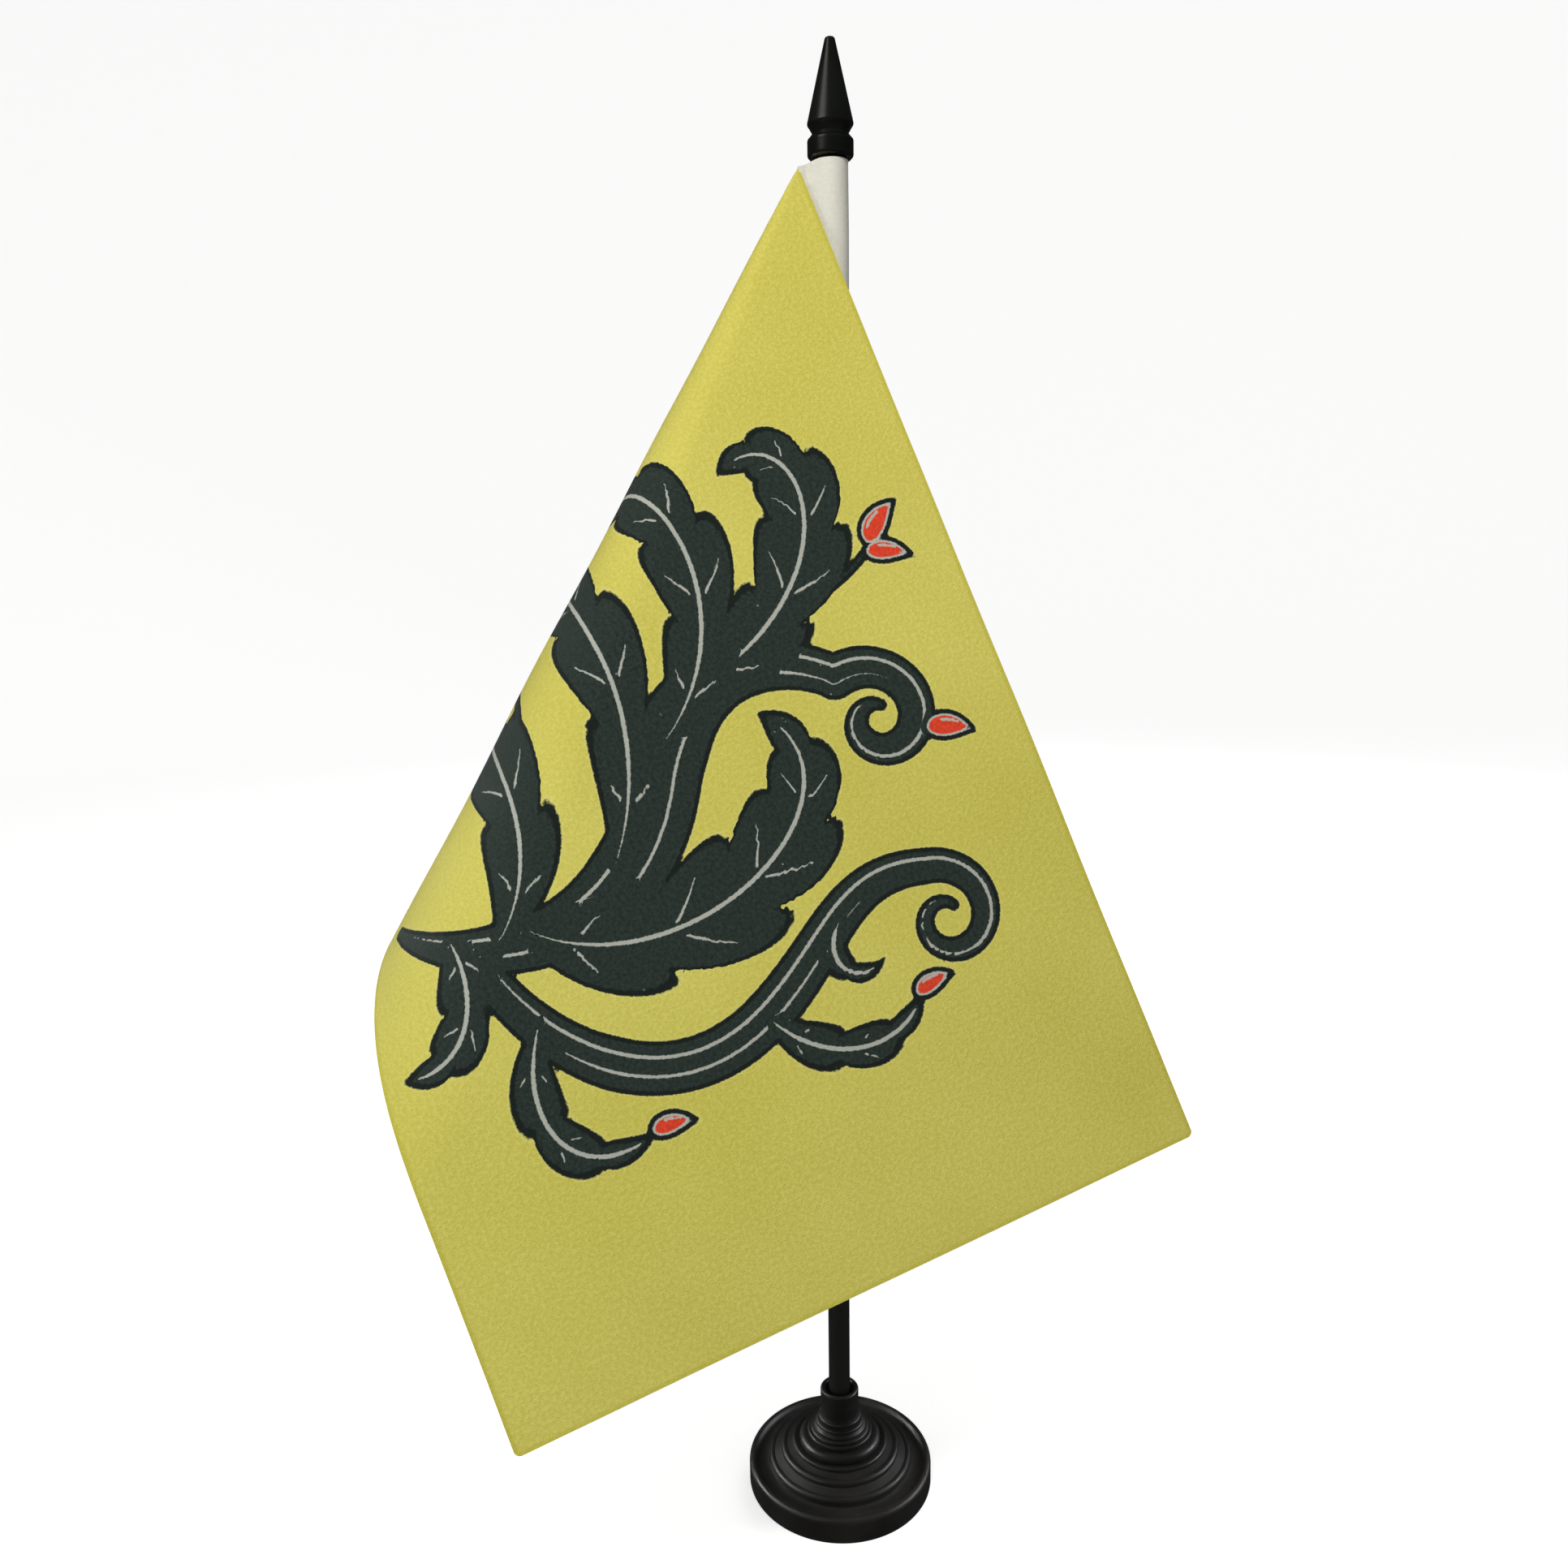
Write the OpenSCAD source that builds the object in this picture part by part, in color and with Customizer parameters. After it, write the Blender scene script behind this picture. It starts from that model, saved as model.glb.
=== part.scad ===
// Desk flag stand: a small cloth flag on a plastic pole, pushed into a weighted round base.
// The pole axis is Z, the base stands on Z = 0, and the flag hangs towards -X and -Y.

/* [Base] */
// Diameter of the base across its rim
base_d = 45.2; // [43:0.1:50]
// Height of the upright rim wall
rim_h = 6.2; // [5.6:0.1:6.8]
// Height of the hub, from the table to the top of its lip
hub_h = 24.9; // [24:0.1:28]
// Thickness of the moulded shell
shell_wall = 1.8; // [1.5:0.1:2]

/* [Pole and finial] */
// Diameter of the pole
pole_d = 5.2; // [4.8:0.1:5.4]
// Height of the finial's tip above the table
tip_h = 330; // [300:1:380]
// Largest diameter of the finial
finial_d = 9.5; // [9:0.1:11]
// Height of the finial, from its lower edge to its tip
finial_h = 22.9; // [21:0.1:26]
// Gap between the pole and the wall of each socket
socket_gap = 0.05; // [0.03:0.01:0.1]

/* [Flag] */
// Length of the flag, along its top edge
flag_l = 210; // [180:1:240]
// Height of the flag, along the pole
flag_h = 140; // [120:1:160]
// Thickness of the cloth
cloth = 0.25; // [0.2:0.05:0.3]
// Outer diameter of the sleeve that the pole passes through
sleeve_d = 7.3; // [7:0.1:8]
// Distance from the pole's axis to the seam that joins the flag to its sleeve
seam_out = 6.9; // [6.5:0.1:8]
// Compass angle of that seam, anticlockwise from +X
seam_angle = 196.9; // [180:0.1:210]

/* [Drape] */
// Compass angle in which the cloth leaves the seam
leave_angle = 145.4; // [140:0.1:150]
// Angle of cloth in the loose back turn, counted about the flag's upper hoist corner
back_span = 33.4; // [30:0.1:36]
// Half angle of the cone that the back turn follows
back_cone = 18; // [16:0.1:20]
// Angle of cloth in the tight side fold
fold_span = 16.2; // [14:0.1:18]
// Half angle of the cone that the side fold follows
fold_cone = 8.1; // [7.5:0.1:9]

/* [Hidden] */

black = [0.13, 0.12, 0.11];
glossy_black = [0.06, 0.08, 0.07];
steel = [0.55, 0.56, 0.58];
foam = [0.2, 0.2, 0.2];
white = [0.88, 0.87, 0.82];
yellow = [0.78, 0.76, 0.38];

round_fn = 96;
rim_r = base_d / 2;
bore_r = pole_d / 2 + socket_gap;

// Base: pad, cover and weight are stacked inside the shell, from the table up
pad_t = 0.8;
cover_z = 0.9;
cover_t = 1.1;
cavity_r = rim_r - shell_wall - 0.2;
stem_r = 4.4;
stem_z = 2.2;
socket_floor = 3;
weight_r = cavity_r - 4.1;
weight_t = 3.1;
weight_gap = 0.3;
keeper_h = 1.4;
keeper_t = 1;
roof_z = rim_h - 2.1;

// Finial: a cone over a groove and a collar
finial_z = tip_h - finial_h;
collar_h = 4;
groove_h = 2.4;
groove_r = 3.7;
tip_r = 0.95;
bore_top = finial_z + 9.9;

// Pole: from the floor of the base's socket to just under the roof of the finial's
pole_top = bore_top - 0.2;
pole_chamfer = 0.4;

// Flag: its upper hoist corner hangs just under the sleeve's top edge
sleeve_top = finial_z - 0.3;
corner_z = sleeve_top - 1.5;
corner = [seam_out * cos(seam_angle), seam_out * sin(seam_angle), corner_z];
flap_l = 1.7;
flap_t = 0.6;
corner_cut = 1.5;
thread_d = 0.3;
stitch_l = 2.4;
stitch_pitch = 3.5;
stitch_margin = 4;

// Points of an arc about [r, z], from one angle to another
function arc(r, z, radius, from, to, steps = 6) =
    [for (i = [0:steps]) let (a = from + (to - from) * i / steps)
        [r + radius * cos(a), z + radius * sin(a)]];

// Outline of the base's top, from the mouth of the socket out to the foot of the rim.
// Fine steps climb the neck, then come a bead, three flat bands, and a hollow that curves up
// smoothly to the rim.
step_beads = [[4.9, 7.6, 0.45], [5.35, 9.1, 0.5], [5.95, 10.2, 0.5], [6.7, 11, 0.5], [7.5, 11.7, 0.5]];
band_beads = [[8.5, 11.1, 1.55], [11.1, 10.3, 0.7], [13.6, 8.6, 1], [16.6, 6.5, 1]];
rim_round = 1.2;
rim_lip = [for (i = [0:5]) let (u = 0.1 + 0.15 * i)
    [20 + u * (rim_r - rim_round - 20), rim_h - 0.87 * (1 - u * u * (3 - 2 * u))]];
function base_outline() = concat(
    [[bore_r, hub_h - 2.4], [3.3, hub_h - 1.6]],
    arc(4.05, hub_h - 0.65, 0.65, 170, 10),
    [[4.7, hub_h - 2], [4.5, hub_h - 2.2], [4.6, hub_h - 5.4], [4.8, hub_h - 6.6]],
    [for (b = step_beads) each arc(b[0], hub_h - b[1], b[2], 70, -20)],
    [for (b = band_beads) each arc(b[0], b[1], b[2], 110, -15)],
    arc(19.4, rim_h + 4.1, 5, -110, -85),
    rim_lip,
    arc(rim_r - rim_round, rim_h - rim_round, rim_round, 90, 0),
    [[rim_r, 0.5], [rim_r - 0.5, 0]]);

// Outline of the hollow under the shell, from the rim's foot in to the stem
function cavity_outline() = [
    [cavity_r, 0], [cavity_r, roof_z], [18.6, roof_z], [16.6, 5.4], [13.4, 7.2],
    [9.6, 9.7], [stem_r, 11.4], [stem_r, stem_z], [0, stem_z]];

module base_shell() {
    color(black) rotate_extrude($fn = round_fn)
        polygon(concat(base_outline(), cavity_outline(), [[0, socket_floor], [bore_r, socket_floor]]));
}

// Steel washer that keeps the stand upright under the flag's off-centre weight
module base_weight() {
    color(steel) translate([0, 0, cover_z + cover_t]) difference() {
        cylinder(r = weight_r, h = weight_t, $fn = round_fn);
        translate([0, 0, -1]) cylinder(r = stem_r + weight_gap, h = weight_t + 2, $fn = round_fn);
    }
}

// Disc pressed into the rim from below, with a raised ring that keeps the washer centred
module base_cover() {
    color(black) translate([0, 0, cover_z]) {
        cylinder(r = cavity_r, h = cover_t, $fn = round_fn);
        difference() {
            cylinder(r = weight_r + weight_gap + keeper_t, h = cover_t + keeper_h, $fn = round_fn);
            translate([0, 0, -1])
                cylinder(r = weight_r + weight_gap, h = cover_t + keeper_h + 2, $fn = round_fn);
        }
    }
}

// Thin foam disc stuck under the cover, level with the rim's foot
module base_pad() {
    color(foam) cylinder(r = cavity_r - 0.4, h = pad_t, $fn = round_fn);
}

module pole() {
    r = pole_d / 2;
    color(black) rotate_extrude($fn = round_fn) polygon([
        [0, socket_floor], [r - pole_chamfer, socket_floor], [r, socket_floor + pole_chamfer],
        [r, pole_top - pole_chamfer], [r - pole_chamfer, pole_top], [0, pole_top]]);
}

module finial() {
    r = finial_d / 2;
    cone_z = finial_z + collar_h + groove_h;
    color(glossy_black) rotate_extrude($fn = round_fn) polygon(concat(
        [[bore_r, finial_z], [r - 0.5, finial_z]],
        arc(r - 0.7, finial_z + 0.8, 0.7, -60, 0),
        arc(r - 0.7, finial_z + collar_h - 0.7, 0.7, 0, 60),
        [[groove_r, finial_z + collar_h + groove_h / 2 - 0.4]],
        arc(r - 0.7, cone_z + 0.3, 0.7, -50, 15),
        arc(0.5, tip_h - 0.6, 0.6, 15, 90),
        [[0, tip_h], [0, bore_top + 0.8], [bore_r, bore_top]]));
}

// Cross-section of the sleeve: a tube round the pole, drawn in to a flat flap at the seam
module sleeve_outline(inset) {
    hull() {
        circle(r = sleeve_d / 2 - inset, $fn = 64);
        translate([seam_out - flap_l, 0]) square([0.1, flap_t - 1.6 * inset], center = true);
    }
}

module flag_sleeve() {
    color(white) rotate(seam_angle) translate([0, 0, sleeve_top - flag_h])
        linear_extrude(flag_h) {
            difference() {
                sleeve_outline(0);
                sleeve_outline(cloth);
            }
            translate([seam_out - flap_l, -flap_t / 2]) square([flap_l + 0.1, flap_t]);
        }
}

// The hanging cloth is part of a general cone whose point is the flag's upper hoist corner, so
// it bends without stretching. A ruling is a straight line of cloth that runs out from there,
// at its angle from the hoist. Each is held as [direction, direction in which it turns].
function turned(v, axis, a) = v * cos(a) + cross(axis, v) * sin(a) + axis * (axis * v) * (1 - cos(a));
function bend(f, cone, s) =
    let (axis = f[0] * cos(cone) - cross(f[0], f[1]) * sin(cone), a = -s / sin(cone))
    [turned(f[0], axis, a), turned(f[1], axis, a)];
function unbent(f, s) = [f[0] * cos(s) + f[1] * sin(s), f[1] * cos(s) - f[0] * sin(s)];

hoist = [[0, 0, -1], [cos(leave_angle), sin(leave_angle), 0]];
back_end = bend(hoist, back_cone, back_span);
fold_end = bend(back_end, fold_cone, fold_span);
front_start = back_span + fold_span;

function ruling(a) =
    a <= back_span ? bend(hoist, back_cone, a)
    : a <= front_start ? bend(back_end, fold_cone, a - back_span)
    : unbent(fold_end, a - front_start);

// Length of the ruling at angle a, from the hoist corner to the edge of the flat cloth
lower_corner = atan(flag_l / flag_h);
function reach(a) = a < lower_corner ? flag_h / cos(a) : flag_l / sin(a);

back_steps = 14;
fold_steps = 10;
ruling_angles = concat(
    [for (i = [0:back_steps]) back_span * i / back_steps],
    [for (i = [1:fold_steps]) back_span + fold_span * i / fold_steps],
    [lower_corner, 90]);

// Four corners of the cloth's edge at one ruling: near and far end, on the back and the front
function cloth_corners(a) =
    let (f = ruling(a), n = cross(f[0], f[1]) * cloth / 2)
    [corner + f[0] * corner_cut - n, corner + f[0] * reach(a) - n,
     corner + f[0] * reach(a) + n, corner + f[0] * corner_cut + n];

module flag_panel() {
    rows = len(ruling_angles);
    last = 4 * (rows - 1);
    color(yellow) polyhedron(
        points = [for (a = ruling_angles) each cloth_corners(a)],
        faces = concat(
            [[0, 1, 2], [0, 2, 3], [last, last + 2, last + 1], [last, last + 3, last + 2]],
            [for (i = [0:rows - 2], k = [0:3]) let (p = 4 * i + k, q = 4 * i + (k + 1) % 4)
                each [[p, p + 4, q + 4], [p, q + 4, q]]]));
}

// Lockstitches through the flap and the flag's hoist edge, with a bar of thread on each face
module seam_stitches() {
    top = corner_z - stitch_margin;
    stitches = floor((flag_h - 2 * stitch_margin) / stitch_pitch);
    side = (flap_t + thread_d) / 2 + 0.02;
    color(white) rotate(seam_angle) for (i = [0:stitches - 1], y = [-side, side])
        translate([seam_out - flap_l / 2, y, top - i * stitch_pitch - stitch_l])
            cylinder(d = thread_d, h = stitch_l, $fn = 16);
}

base_shell();
base_weight();
base_cover();
base_pad();
pole();
finial();
flag_sleeve();
flag_panel();
seam_stitches();
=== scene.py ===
import math

import bpy
import numpy as np
from mathutils import Matrix, Vector


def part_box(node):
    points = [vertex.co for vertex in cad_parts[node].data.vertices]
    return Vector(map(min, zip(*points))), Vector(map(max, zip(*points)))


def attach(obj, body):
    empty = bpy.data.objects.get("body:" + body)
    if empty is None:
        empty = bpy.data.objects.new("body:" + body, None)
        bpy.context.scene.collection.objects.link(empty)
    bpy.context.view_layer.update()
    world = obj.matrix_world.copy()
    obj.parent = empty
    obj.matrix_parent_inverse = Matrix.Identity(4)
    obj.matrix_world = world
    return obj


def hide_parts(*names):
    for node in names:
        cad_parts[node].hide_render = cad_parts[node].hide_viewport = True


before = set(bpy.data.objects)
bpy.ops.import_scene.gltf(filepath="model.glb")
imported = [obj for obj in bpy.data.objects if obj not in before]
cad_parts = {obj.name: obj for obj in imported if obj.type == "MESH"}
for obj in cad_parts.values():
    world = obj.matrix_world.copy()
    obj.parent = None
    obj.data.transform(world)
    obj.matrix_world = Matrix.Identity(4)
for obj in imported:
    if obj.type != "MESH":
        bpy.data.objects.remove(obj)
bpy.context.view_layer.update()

# ---------------------------------------------------------------------------
# Base moulding
# A black injection moulding, open underneath round a stem: a hollow inside the
# rim, three flat bands, a bead and fine steps climb to a hub with a blind socket
# for the pole. Handling has polished its crowns, and dust sits in its grooves.
# ---------------------------------------------------------------------------

MM = 0.001


def arc(r, z, radius, a, b, steps=9):
    """Points of the arc about (r, z), from angle a to angle b in degrees."""
    t = np.radians(np.linspace(a, b, steps))
    return np.stack([r + radius * np.cos(t), z + radius * np.sin(t)], 1)


def quads(rows, cols, wrap=False, start=0):
    """Faces of a grid numbered row by row, facing row direction x column direction."""
    r, c = np.meshgrid(np.arange(rows - 1), np.arange(cols if wrap else cols - 1), indexing="ij")
    here = r * cols + c
    beside = r * cols + (c + 1) % cols
    return (np.stack([here, here + cols, beside + cols, beside], -1).reshape(-1, 4) + start).tolist()


def add_values(mesh, name, values):
    """Stores one number for each point of the mesh under that name."""
    made = mesh.attributes.new(name, "FLOAT", "POINT")
    made.data.foreach_set("value", np.asarray(values, np.float32))


def new_piece(name, points, faces, crisp=40):
    """Object with these points, in metres; edges over crisp degrees stay sharp."""
    mesh = bpy.data.meshes.new(name)
    mesh.from_pydata(np.asarray(points, float).tolist(), [], faces)
    mesh.shade_smooth()
    mesh.set_sharp_from_angle(angle=math.radians(crisp))
    piece = bpy.data.objects.new(name, mesh)
    bpy.context.scene.collection.objects.link(piece)
    return piece


def divided(outline, step):
    """The outline with every stretch longer than step cut into equal parts."""
    outline = np.asarray(outline, float)
    gaps = np.linalg.norm(np.diff(outline, axis=0), axis=1)
    parts = np.maximum(np.ceil(gaps / step), 1).astype(int)
    at = np.concatenate([i + np.arange(n) / n for i, n in enumerate(parts)] + [[len(parts)]])
    whole = np.arange(len(outline))
    return np.stack([np.interp(at, whole, outline[:, 0]), np.interp(at, whole, outline[:, 1])], 1)


def bending(outline, reach=0.5):
    """How far the outline turns within reach of each point, in radians; crowns are positive."""
    step = np.diff(outline, axis=0)
    length = np.linalg.norm(step, axis=1)
    heading = np.unwrap(np.arctan2(step[:, 1], step[:, 0]))
    place = np.concatenate([[0], np.cumsum(length)])
    middle = (place[1:] + place[:-1]) / 2
    return np.interp(place - reach, middle, heading) - np.interp(place + reach, middle, heading)


def revolve(name, outline, step, segments=180, crisp=40, ripple=None):
    """The (r, z) outline in millimetres, carried round Z: (r cos a, r sin a, z). It starts and
    ends on the axis. ripple(r, z, a) moves points outwards by its value in millimetres."""
    ring = divided(outline, step)
    turn = bending(ring)
    a = np.linspace(0, 2 * np.pi, segments, endpoint=False)
    r, z = np.repeat(ring[1:-1, :1], segments, 1), np.repeat(ring[1:-1, 1:], segments, 1)
    if ripple is not None:
        r = r + ripple(r, z, a)
    rings = np.stack([r * np.cos(a), r * np.sin(a), z], -1).reshape(-1, 3)
    points = np.vstack([rings, [[0, 0, ring[0, 1]], [0, 0, ring[-1, 1]]]]) * MM
    rows, count = len(ring) - 2, len(rings)
    k = np.arange(segments)
    ahead = (k + 1) % segments
    faces = quads(rows, segments, wrap=True)
    faces += np.stack([np.full(segments, count), k, ahead], 1).tolist()
    last = (rows - 1) * segments
    faces += np.stack([np.full(segments, count + 1), last + ahead, last + k], 1).tolist()
    piece = new_piece(name, points, faces, crisp)
    turns = np.concatenate([np.repeat(turn[1:-1], segments), [0, 0]])
    add_values(piece.data, "crown", np.clip(turns, 0, 1))
    add_values(piece.data, "groove", np.clip(-turns, 0, 1))
    return piece


def node(tree, kind, sockets=None, **settings):
    """A shader node; each named socket gets a value, or another node's output."""
    made = tree.nodes.new(kind)
    for key, value in settings.items():
        setattr(made, key, value)
    for key, value in (sockets or {}).items():
        if isinstance(value, bpy.types.NodeSocket):
            tree.links.new(value, made.inputs[key])
        else:
            made.inputs[key].default_value = value
    return made


def calc(tree, operation, a, b=0.0, c=0.0):
    """A Math node's result."""
    return node(tree, "ShaderNodeMath", {0: a, 1: b, 2: c}, operation=operation).outputs[0]


def ease(tree, value, low, high, out_low=0.0, out_high=1.0):
    """The value eased from out_low, at low and before, to out_high, at high and after."""
    sockets = {"Value": value, "From Min": low, "From Max": high, "To Min": out_low, "To Max": out_high}
    return node(tree, "ShaderNodeMapRange", sockets, interpolation_type="SMOOTHSTEP").outputs[0]


def blend(tree, factor, a, b):
    """Colour a where the factor is 0, and b where it is 1."""
    return node(tree, "ShaderNodeMix", {0: factor, 6: a, 7: b}, data_type="RGBA").outputs[2]


def noise(tree, place, size, detail=2.0, rough=0.5):
    """Noise from 0 to 1 with features about size metres across."""
    sockets = {"Vector": place, "Detail": detail, "Roughness": rough}
    made = node(tree, "ShaderNodeTexNoise", sockets)
    if isinstance(size, bpy.types.NodeSocket):
        tree.links.new(calc(tree, "DIVIDE", 1.0, size), made.inputs["Scale"])
    else:
        made.inputs["Scale"].default_value = 1 / size
    return made.outputs["Fac"]


def bump(tree, height, depth, under=None):
    """Normal that a height from 0 to 1 gives over that depth in metres, on top of another normal."""
    sockets = {"Height": height, "Distance": depth, "Strength": 1.0}
    if under is not None:
        sockets["Normal"] = under
    return node(tree, "ShaderNodeBump", sockets).outputs["Normal"]


def value_of(tree, name):
    """The number that the mesh stores for each point under that name."""
    return node(tree, "ShaderNodeAttribute", attribute_name=name).outputs["Fac"]


def place_on(tree, stretch=(1, 1, 1)):
    """Object coordinates, in metres, stretched along each axis."""
    own = node(tree, "ShaderNodeTexCoord").outputs["Object"]
    return node(tree, "ShaderNodeMapping", {"Vector": own, "Scale": stretch}).outputs[0]


def new_material(name, **constants):
    """A material, its tree and its Principled shader, with each constant on the shader's socket."""
    made = bpy.data.materials.new(name)
    made.use_nodes = True
    tree = made.node_tree
    tree.nodes.clear()
    shader = node(tree, "ShaderNodeBsdfPrincipled")
    node(tree, "ShaderNodeOutputMaterial", {"Surface": shader.outputs[0]})
    for key, value in constants.items():
        shader.inputs[key.replace("_", " ")].default_value = value
    return made, tree, shader


def new_group(name, inputs, outputs):
    """A node group with float sockets, and a vector one named Place: its tree, what it is given
    and what it gives."""
    tree = bpy.data.node_groups.new(name, "ShaderNodeTree")
    for side, labels in (("INPUT", inputs), ("OUTPUT", outputs)):
        for label in labels:
            kind = "NodeSocketVector" if label == "Place" else "NodeSocketFloat"
            tree.interface.new_socket(label, in_out=side, socket_type=kind)
    return tree, tree.nodes.new("NodeGroupInput").outputs, tree.nodes.new("NodeGroupOutput").inputs


def use(tree, group, sockets):
    """The outputs of a group placed in a tree."""
    return node(tree, "ShaderNodeGroup", sockets, node_tree=group).outputs


# Skin of a moulded plastic: fine grain, slow clouding, and where it is polished, dusty or scuffed
skin, given, gives = new_group(
    "moulded skin", ["Place", "Grain", "Crown", "Groove"], ["Grain", "Cloud", "Polish", "Dust", "Scuff"]
)
place = given["Place"]
skin.links.new(noise(skin, place, given["Grain"], 3.0, 0.6), gives["Grain"])
skin.links.new(ease(skin, noise(skin, place, 0.012, 3.0), 0.32, 0.68), gives["Cloud"])
broken = ease(skin, noise(skin, place, 0.004, 4.0), 0.3, 0.65)
skin.links.new(calc(skin, "MULTIPLY", ease(skin, given["Crown"], 0.15, 0.9), broken), gives["Polish"])
patchy = ease(skin, noise(skin, place, 0.0025, 4.0, 0.7), 0.35, 0.75)
skin.links.new(calc(skin, "MULTIPLY", ease(skin, given["Groove"], 0.1, 0.7), patchy), gives["Dust"])
cells = node(skin, "ShaderNodeTexVoronoi", {"Vector": place, "Scale": 450.0}, distance="EUCLIDEAN")
lone = node(skin, "ShaderNodeSeparateColor", {"Color": cells.outputs["Color"]}).outputs[0]
near = ease(skin, cells.outputs["Distance"], 0.04, 0.12, 1.0, 0.0)
skin.links.new(calc(skin, "MULTIPLY", near, ease(skin, lone, 0.9, 0.93)), gives["Scuff"])


def moulded_plastic(name, colour, worn, rough, grain, depth, stretch=(1, 1, 1), **constants):
    """Black plastic: colour in the open, worn on crowns and specks, rough from (low, high)."""
    made, tree, shader = new_material(name, **constants)
    sockets = {
        "Place": place_on(tree, stretch),
        "Grain": grain,
        "Crown": value_of(tree, "crown"),
        "Groove": value_of(tree, "groove"),
    }
    marks = use(tree, skin, sockets)
    shade = calc(tree, "MULTIPLY_ADD", marks["Cloud"], 0.12, 0.0)
    shade = calc(tree, "MULTIPLY_ADD", marks["Polish"], 0.06, shade)
    shade = calc(tree, "MULTIPLY_ADD", marks["Dust"], 0.14, shade)
    shade = calc(tree, "MULTIPLY_ADD", marks["Scuff"], 0.6, shade)
    tree.links.new(blend(tree, shade, colour, worn), shader.inputs["Base Color"])
    level = calc(tree, "MULTIPLY_ADD", marks["Grain"], 0.35, 0.2)
    level = calc(tree, "MULTIPLY_ADD", marks["Cloud"], 0.3, level)
    level = calc(tree, "MULTIPLY_ADD", marks["Dust"], 0.5, level)
    level = calc(tree, "MULTIPLY_ADD", marks["Polish"], -0.25, level)
    tree.links.new(ease(tree, level, 0.0, 1.0, *rough), shader.inputs["Roughness"])
    tree.links.new(bump(tree, marks["Grain"], depth), shader.inputs["Normal"])
    return made


def dress(piece, body, slot, material, *nodes):
    """Gives a piece its material and its body, and hides the CAD nodes it stands for; slot is not used.
    """
    piece.data.materials.append(material)
    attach(piece, body)
    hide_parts(*nodes)


shell_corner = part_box("base_shell")[1]
rim_r, hub_h = shell_corner.x / MM, shell_corner.z / MM
pole_low, pole_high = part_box("pole")
pole_r, socket_floor = pole_high.x / MM, pole_low.z / MM
bore_r = pole_r + 0.05
mouth_r, mouth_round = 4.05, 0.65
rim_h, rim_round = 6.2, 1.2
foot_round = 0.5
hollow_r, hollow_round, hollow_drop = 19.4, 5, 0.9
lip_r, lip_drop = 20, 0.87
cavity_r, roof_z = rim_r - 2, rim_h - 2.1
stem_r, stem_z = 4.4, 2.2

# Each bead: its centre's radius, its centre's height or drop from the hub's top, its own radius
step_beads = [(4.9, 7.6, 0.45), (5.35, 9.1, 0.5), (5.95, 10.2, 0.5), (6.7, 11, 0.5), (7.5, 11.7, 0.5)]
band_beads = [(8.5, 11.1, 1.55), (11.1, 10.3, 0.7), (13.6, 8.6, 1), (16.6, 6.5, 1)]
mouth = [(0, socket_floor), (bore_r, socket_floor), (bore_r, hub_h - 2.4), (3.3, hub_h - 1.6)]
neck = [(4.7, hub_h - 2), (4.5, hub_h - 2.2), (4.6, hub_h - 5.4), (4.8, hub_h - 6.6)]
underside = [
    (cavity_r, 0), (cavity_r, roof_z), (18.6, roof_z), (16.6, 5.4), (13.4, 7.2), (9.6, 9.7),
    (stem_r, 11.4), (stem_r, stem_z), (0, stem_z),
]

# The lip climbs out of the hollow to the rim's crown, with its slope eased at both ends
rise = np.linspace(0.1, 0.9, 7)[:, None]
eased = rise**2 * (3 - 2 * rise)
crown_r = rim_r - rim_round
lip = np.hstack([lip_r + rise * (crown_r - lip_r), rim_h - lip_drop * (1 - eased)])
outline = np.vstack(
    [mouth, arc(mouth_r, hub_h - mouth_round, mouth_round, 170, 10, 14), neck]
    + [arc(r, hub_h - drop, radius, 70, -20) for r, drop, radius in step_beads]
    + [arc(r, z, radius, 110, -15) for r, z, radius in band_beads]
    + [arc(hollow_r, rim_h - hollow_drop + hollow_round, hollow_round, -110, -85, 8), lip]
    + [arc(crown_r, rim_h - rim_round, rim_round, 90, 0, 12), [(rim_r, foot_round)]]
    + [arc(rim_r - foot_round, foot_round, foot_round, 0, -90, 6), underside]
)
base = revolve("base_moulding", outline, 0.45, 200)
base_plastic = moulded_plastic(
    "satin base plastic",
    (0.0105, 0.01, 0.0095, 1),
    (0.055, 0.052, 0.048, 1),
    (0.4, 0.6),
    0.00035,
    0.00002,
    Specular_IOR_Level=0.5,
)
dress(base, "base", "base_plastic", base_plastic, "base_shell")

# ---------------------------------------------------------------------------
# Base weight
# A zinc-plated steel washer, stamped from sheet, that lies hidden round the stem
# and keeps the stand upright. The blanking tool has left it a dull rolled grain.
# ---------------------------------------------------------------------------


def repaint(name, material):
    """Puts the material in every slot of a CAD node that stays."""
    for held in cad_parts[name].material_slots:
        held.material = material


plated, tree, shader = new_material("plated steel", Metallic=1.0)
rolled = noise(tree, place_on(tree, (1, 14, 1)), 0.004, 4.0, 0.6)
spangle = noise(tree, place_on(tree), 0.0015, 2.0)
tone = calc(tree, "MULTIPLY_ADD", rolled, 0.6, calc(tree, "MULTIPLY", spangle, 0.4))
zinc = blend(tree, tone, (0.34, 0.35, 0.37, 1), (0.62, 0.63, 0.64, 1))
tree.links.new(zinc, shader.inputs["Base Color"])
tree.links.new(ease(tree, tone, 0.2, 0.8, 0.5, 0.28), shader.inputs["Roughness"])
tree.links.new(bump(tree, rolled, 0.00002), shader.inputs["Normal"])
repaint("base_weight", plated)

# ---------------------------------------------------------------------------
# Base cover
# A black disc pressed into the rim from below. Its raised ring keeps the washer
# centred, and it is moulded in the same plastic as the base, with a duller face.
# ---------------------------------------------------------------------------

cover_plastic = moulded_plastic(
    "dull cover plastic", (0.016, 0.015, 0.014, 1), (0.07, 0.066, 0.06, 1), (0.5, 0.75), 0.0005, 0.00003
)
repaint("base_cover", cover_plastic)

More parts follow.
